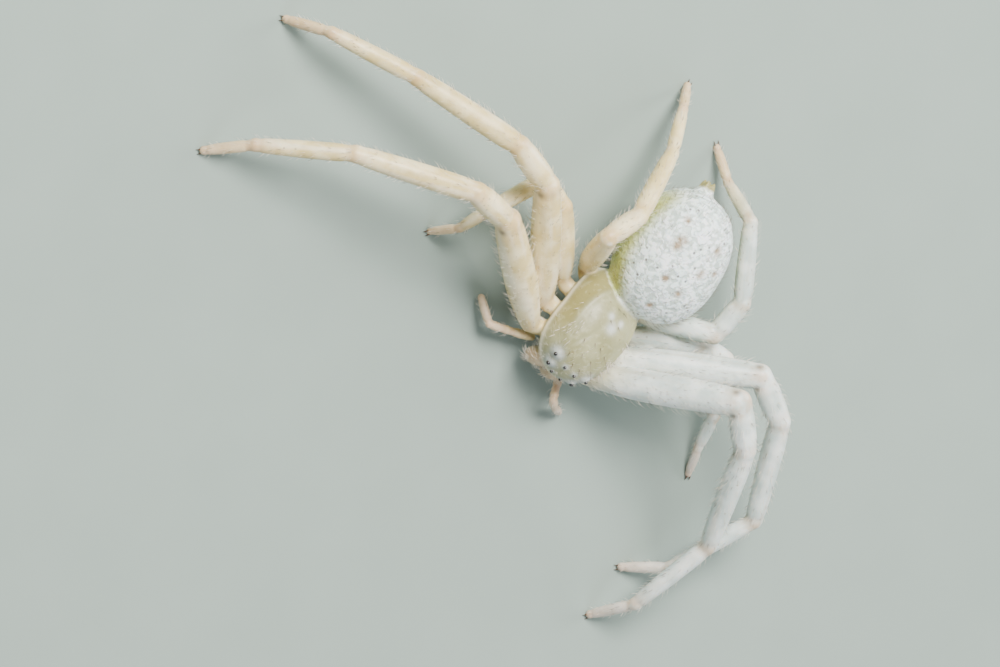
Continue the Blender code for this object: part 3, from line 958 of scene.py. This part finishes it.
def skin_material():
    """Waxy clear cuticle: cream legs, greenish carapace, grainy white abdomen."""
    n = Nodes("skin_cuticle")
    clouds = n.steps(n.noise(1.6, 5.0), 0.36, 0.66)
    body = n.mix(n.mark("carapace"), leg_colour(n, clouds), carapace_colour(n, clouds))
    blush = n.mix(n.steps(n.noise(5.0), 0.3, 0.7), *BLUSH_PINK)
    body = n.tint(body, n.mark("blush"), 0.6, blush)
    body = n.mix(n.mark("eye_patch"), body, EYE_SKIN)
    white, gaps = abdomen_colour(n)
    fine = n.bump(n.noise(22.0, 4.0), 0.008, 0.6)
    sunk = n.math("MULTIPLY", gaps, n.mark("abdomen"))
    n.set(Base_Color=n.mix(n.mark("abdomen"), body, white),
          Normal=n.bump(sunk, -0.03, 0.7, fine),
          Roughness=n.math("ADD", 0.34, n.math("MULTIPLY", n.noise(9.0), 0.16)),
          Subsurface_Weight=0.3, Subsurface_Radius=(0.00022, 0.00016, 0.0001), IOR=1.45,
          Coat_Weight=0.1, Coat_Roughness=0.3, Sheen_Weight=0.05, Subsurface_Scale=1.0)
    return n.material


def eye_material():
    """A glossy black lens with a faint brown depth."""
    n = Nodes("eye_lens")
    n.set(Base_Color=n.mix(n.noise(6.0), *LENS_BLACK), Roughness=0.06, IOR=1.5,
          Coat_Weight=1.0, Coat_Roughness=0.03)
    return n.material


def horn_material():
    """Dark brown horn with paler clouds."""
    n = Nodes("claw_horn")
    n.set(Base_Color=n.mix(n.noise(12.0), *HORN_BROWN), IOR=1.55, Coat_Weight=0.3,
          Roughness=n.math("ADD", 0.22, n.math("MULTIPLY", n.noise(20.0), 0.12)))
    return n.material


def hair_material(name, colours):
    """Fine stiff hair whose tone changes from one hair to the next."""
    n = Nodes(name)
    n.set(Base_Color=n.mix(n.noise(7.0), *colours), Roughness=0.45, IOR=1.5,
          Subsurface_Weight=0.15, Subsurface_Scale=1.0,
          Subsurface_Radius=(0.0001, 0.0001, 0.0001))
    return n.material


# Eyes, claws and fangs


def make_eyes():
    """Eight separate eyes on their mounds."""
    lens = eye_material()
    for side, word in ((1, "left"), (-1, "right")):
        for kind, (_, radius, _) in EYES.items():
            shell = Shell()
            shell.add(*ellipsoid(eye_place(kind, side)[0], (radius,) * 3, segments=32, rings=20))
            name = f"lens_{kind}_{word}"
            eye = placed(name, shell.mesh(name), lens)
            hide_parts(f"eye_{kind}_{word}")
            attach(eye, "root")


def hooked(root, heading, across, length, radius, droop):
    """A curved, tapering hook."""
    centres = []
    radii = []
    for step in range(HOOK_STEPS):
        share = step / (HOOK_STEPS - 1)
        drop = UP * droop * share**2
        centres.append(root + heading * length * share + across * HOOK_SPLAY * share - drop)
        radii.append(radius * (1.0 - 0.9 * share**1.3))
    return swept_tube(centres, radii, HOOK_SIDES)


def make_claws(horn):
    """Two claws on each foot, one piece to a foot."""
    for name, (sizes, _, _) in POSES.items():
        joints = leg_joints(name)
        heading = (joints[-1] - joints[-2]).normalized()
        tip = joints[-1] + heading * sizes["radii"][-1] * 0.2
        level = Vector((heading.x, heading.y, 0.0)).normalized()
        across = level.cross(UP)
        shell = Shell()
        for side in (1, -1):
            root = tip + across * side * CLAW_SPACING
            root.z = max(root.z, CLAW_RADIUS + CLAW_LIFT)
            end_drop = root.z - CLAW_RADIUS * 0.4
            shell.add(*hooked(root, level, across * side, CLAW_LENGTH, CLAW_RADIUS, end_drop))
        title = name.replace("leg", "claws")
        piece = placed(title, shell.mesh(title), horn)
        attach(piece, "root")


def make_fangs(horn):
    """The dark fang below each chelicera."""
    for side, word in ((1, "left"), (-1, "right")):
        root = mirrored(CHELICERA_PLACE, side) + mirrored(FANG_ROOT, side)
        inward = Vector((-side * 0.9, 0.15, -0.25)).normalized()
        shell = Shell()
        shell.add(*hooked(root, inward, Vector(), FANG_LENGTH, FANG_RADIUS, 0.02))
        title = f"fang_{word}"
        piece = placed(title, shell.mesh(title), horn)
        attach(piece, "root")


# Hairs


# Coats: density to a square millimetre or count, then length, radius and lift off the skin.
PALE_LEG_HAIR = dict(density=22.0, length=0.26, radius=0.0055, lift=1.0)
DARK_LEG_HAIR = dict(density=6.0, length=0.17, radius=0.006, lift=0.7)
CARAPACE_HAIR = dict(count=260, length=0.16, radius=0.0042, lift=1.2)
CHELICERA_HAIR = dict(count=150, length=0.17, radius=0.0065, lift=1.2)
ABDOMEN_HAIR = dict(count=620, length=0.2, radius=0.005, lift=0.7)

# Bristles: how many on each long leg and each side of the carapace, and their sizes.
KNEE_BRISTLES = 26
SIDE_BRISTLES = 26
KNEE_BRISTLE_RADIUS = 0.009
SIDE_BRISTLE_SIZE = dict(length=0.2, radius=0.011)
MIDLINE_BRISTLE_SIZE = dict(length=0.24, radius=0.011)

# Dark bristles of the carapace, as directions on it, on the left and mirrored on the right.
MIDLINE_BRISTLES = (
    (0.06, 0.35), (0.1, 0.12), (0.07, -0.08), (0.12, -0.3),
    (0.32, -0.12), (0.36, -0.42), (0.1, -0.55),
)

# A hair has three corners at its root and at its middle, as angles round it, and one tip.
HAIR_CORNERS = (0.0, 2.1, 4.2)
HAIR_FACES = [face for i, j in ((0, 1), (1, 2), (2, 0))
              for face in ((i, j, 3 + j, 3 + i), (3 + i, 3 + j, 6))]

# The hairs' map: cells across, the margin inside a cell, and the size of a hair's own patch.
ATLAS_CELLS = 9
ATLAS_MARGIN = 0.05
HAIR_PATCH = 0.0015
PATCH_CORNERS = ((-1, -1), (1, -1), (0, -0.6), (-1, 0.4), (1, 0.4), (0, 0.6), (0, 1))


class Coat(Shell):
    """Many thin hairs in one mesh, each with its own small patch of the OFBake map."""

    def __init__(self, box):
        super().__init__()
        self.patches = []
        self.low, self.high = box

    def hair(self, root, way, length, radius, chart, across, along, droop):
        """One bent hair from its root, if it stays inside the model's box."""
        side = way.cross(droop)
        side = side.normalized() if side.length > 1e-6 else way.orthogonal().normalized()
        middle = root + way * length * 0.5
        tip = root + way * length * 0.92 + droop * length * 0.3
        reach = metre_place(tip)
        if (reach < self.low).any() or (reach > self.high).any():
            return
        other = way.cross(side)
        start = root - way * radius * 2.0
        corners = [centre + (side * math.cos(turn) + other * math.sin(turn)) * radius * share
                   for centre, share in ((start, 1.0), (middle, 0.7)) for turn in HAIR_CORNERS]
        self.add([*corners, tip], HAIR_FACES)
        row, column = divmod(chart, ATLAS_CELLS)
        inner = 1.0 - 2.0 * ATLAS_MARGIN
        self.patches.append(((column + ATLAS_MARGIN + inner * across) / ATLAS_CELLS,
                             (row + ATLAS_MARGIN + inner * along) / ATLAS_CELLS))

    def piece(self, name, material):
        """All the hairs as one piece."""
        mesh = self.mesh(name)
        layer = mesh.uv_layers.new(name="OFBake")
        indices = np.zeros(len(mesh.loops), int)
        mesh.loops.foreach_get("vertex_index", indices)
        hair, corner = np.divmod(indices, len(PATCH_CORNERS))
        patches = np.array(self.patches)[hair]
        offsets = np.array(PATCH_CORNERS)[corner] * HAIR_PATCH
        layer.data.foreach_set("uv", (patches + offsets).ravel())
        made = placed(name, mesh, material)
        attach(made, "root")


def leg_hairs(coat, rng, density, length, radius, lift):
    """Hairs along the legs and palps, leaning towards the feet."""
    for chart, segment in enumerate(all_segments()):
        if segment.kind == "coxa":
            continue
        width = segment.radius
        axis = segment.end - segment.start
        reach = axis.length
        axis = axis.normalized()
        first = axis.orthogonal().normalized()
        second = axis.cross(first)
        finer = min(1.0, 0.45 + width)
        for _ in range(int(density * reach * width * math.tau)):
            along = rng.uniform(0.03, 0.98)
            turn = rng.uniform(0.0, math.tau)
            out = first * math.cos(turn) + second * math.sin(turn)
            root = segment.start + axis * along * reach
            root += out * (profile_radius(segment.profile, along) * width - SKIN_INSET)
            way = (out * lift + axis + rng.uniform(-0.2, 0.2) * axis.cross(out)).normalized()
            size = length * finer * rng.uniform(0.6, 1.2)
            coat.hair(root, way, size, radius, chart, along, turn / math.tau, axis)


def body_hairs(coat, rng, mould, chart, keep, count, length, radius, lift):
    """Hairs on a moulded ball in the directions that are kept, leaning back and up."""
    step = 0.01
    made = 0
    while made < count:
        n = Vector((rng.gauss(0, 1), rng.gauss(0, 1), rng.gauss(0, 1))).normalized()
        if not keep(n):
            continue
        made += 1
        root = mould(n)
        first = n.orthogonal().normalized()
        second = n.cross(first)
        out = (mould((n + first * step).normalized()) - root).cross(
            mould((n + second * step).normalized()) - root
        ).normalized()
        back = Vector((0.0, 1.0, 0.0))
        back = (back - out * back.dot(out)).normalized()
        way = (out * lift + back * rng.uniform(0.5, 1.0)).normalized()
        turn = math.atan2(n.y, n.x) / math.tau + 0.5
        coat.hair(root, way, length * rng.uniform(0.6, 1.2), radius, chart, turn,
                  math.acos(n.z) / math.pi, back)


def bristle_rows(coat, rng, chart):
    """Stout pale bristles below the knees of the long front legs."""
    for femur in long_femurs():
        reach = femur.end - femur.start
        axis = reach.normalized()
        down = (axis * axis.z - UP).normalized()
        across = axis.cross(down)
        for number in range(KNEE_BRISTLES):
            along = 0.45 + 0.5 * rng.random()
            turn = rng.gauss(0.0, 0.5)
            out = down * math.cos(turn) + across * math.sin(turn)
            width = profile_radius(femur.profile, along) * femur.radius - SKIN_INSET
            root = femur.start + reach * along + out * width
            way = (out + axis * 0.7).normalized()
            coat.hair(root, way, rng.uniform(0.2, 0.32), KNEE_BRISTLE_RADIUS, chart, along,
                      number / KNEE_BRISTLES, axis)


def shield_bristles(coat, rng, chart, spots, length, radius):
    """Single bristles that stand at chosen directions on the carapace."""
    for across, along in spots:
        place, out = on_carapace(across, along)
        way = (out + Vector((0.0, -0.7, 0.0))).normalized()
        size = length * rng.uniform(0.8, 1.2)
        coat.hair(place, way, size, radius, chart, 0.5 + 0.4 * across, 0.5 + 0.4 * along, way)


def make_coats(box):
    """Pale fine hair and stout pale bristles, then darker short hair and bristles."""
    rng = random.Random(SEED)
    carapace_chart = len(all_segments())
    abdomen_chart, knee_chart, chelicera_chart = (carapace_chart + step for step in (1, 2, 3))

    pale = Coat(box)
    leg_hairs(pale, rng, **PALE_LEG_HAIR)
    body_hairs(pale, rng, carapace_mould, carapace_chart,
               lambda n: n.z > -0.3 and n.y < -0.1, **CARAPACE_HAIR)
    bristle_rows(pale, rng, knee_chart)
    cluster = [(side * rng.uniform(0.55, 0.86), rng.uniform(-0.35, 0.1))
               for side in (1, -1) for _ in range(SIDE_BRISTLES)]
    shield_bristles(pale, rng, carapace_chart, cluster, **SIDE_BRISTLE_SIZE)
    for side in (1, -1):
        body_hairs(pale, rng, chelicera_mould(side), chelicera_chart,
                   lambda n: n.y < 0.2, **CHELICERA_HAIR)
    pale.piece("hair_pale", hair_material("hair_pale", PALE_HAIR))

    dark = Coat(box)
    leg_hairs(dark, rng, **DARK_LEG_HAIR)
    body_hairs(dark, rng, lambda n: abdomen_mould(n, -SKIN_INSET), abdomen_chart,
               lambda n: n.z > -0.6, **ABDOMEN_HAIR)
    for side in (1, -1):
        spots = [(side * across, along) for across, along in MIDLINE_BRISTLES]
        shield_bristles(dark, rng, carapace_chart, spots, **MIDLINE_BRISTLE_SIZE)
    dark.piece("hair_dark", hair_material("hair_dark", DARK_HAIR))


# Stage


# Each light: its place in metres, its size, its power and its colour.
LIGHTS = {
    "key": ((-0.06, 0.07, 0.13), 0.07, 0.72, (1.0, 0.98, 0.95)),
    "fill": ((0.1, -0.08, 0.1), 0.12, 0.14, (0.9, 0.95, 1.0)),
    "rim": ((0.08, 0.12, 0.07), 0.06, 0.16, (1.0, 1.0, 1.0)),
}
SURROUND_COLOUR = (0.85, 0.92, 1.0, 1.0)
SURROUND_STRENGTH = 0.34
FLOOR_REACH = 0.6


def make_camera():
    """The photograph's view, from a long way off."""
    right = Vector(CAMERA_RIGHT).normalized()
    up = Vector(CAMERA_UP)
    up = (up - right * up.dot(right)).normalized()
    back = right.cross(up)
    data = bpy.data.cameras.new("camera")
    data.lens = CAMERA_LENS
    data.sensor_width = SENSOR_WIDTH
    data.clip_start = 0.001
    data.clip_end = 10.0
    camera = linked("camera", data)
    distance = FRAME_WIDTH * CAMERA_LENS / SENSOR_WIDTH * TO_METRES
    turn = Matrix((right, up, back)).transposed().to_4x4()
    place = Vector(metre_place(CAMERA_TARGET)) + back * distance
    camera.matrix_world = Matrix.Translation(place) @ turn
    bpy.context.scene.camera = camera


def make_light(name, place, size, power, colour):
    """A soft square light that looks at the animal."""
    data = bpy.data.lights.new(name, "AREA")
    data.size = size
    data.energy = power
    data.color = colour
    light = linked(name, data)
    light.location = place
    light.rotation_euler = (-Vector(place)).to_track_quat("-Z", "Y").to_euler()


def make_stage():
    """A plain pale floor, a pale surround and three soft lights."""
    data = bpy.data.meshes.new("floor")
    corners = [(x * FLOOR_REACH, y * FLOOR_REACH, 0)
               for x, y in ((-1, -1), (1, -1), (1, 1), (-1, 1))]
    data.from_pydata(corners, [], [(0, 1, 2, 3)])
    floor = linked("floor", data)
    n = Nodes("floor_paper")
    n.set(Base_Color=n.mix(n.noise(0.4), *FLOOR_GREY), Roughness=0.9)
    floor.data.materials.append(n.material)
    world = bpy.data.worlds.new("surround")
    world.use_nodes = True
    background = world.node_tree.nodes["Background"]
    background.inputs["Color"].default_value = SURROUND_COLOUR
    background.inputs["Strength"].default_value = SURROUND_STRENGTH
    bpy.context.scene.world = world
    for name, settings in LIGHTS.items():
        make_light(name, *settings)


def main():
    """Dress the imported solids, and set the stage for the photograph's view."""
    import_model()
    cad_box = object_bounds()
    box = (np.array(cad_box[0]), np.array(cad_box[1]))
    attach(make_skin(), "root")
    make_eyes()
    horn = horn_material()
    make_claws(horn)
    make_fangs(horn)
    make_coats(box)
    make_stage()
    make_camera()
    bpy.context.view_layer.update()


main()
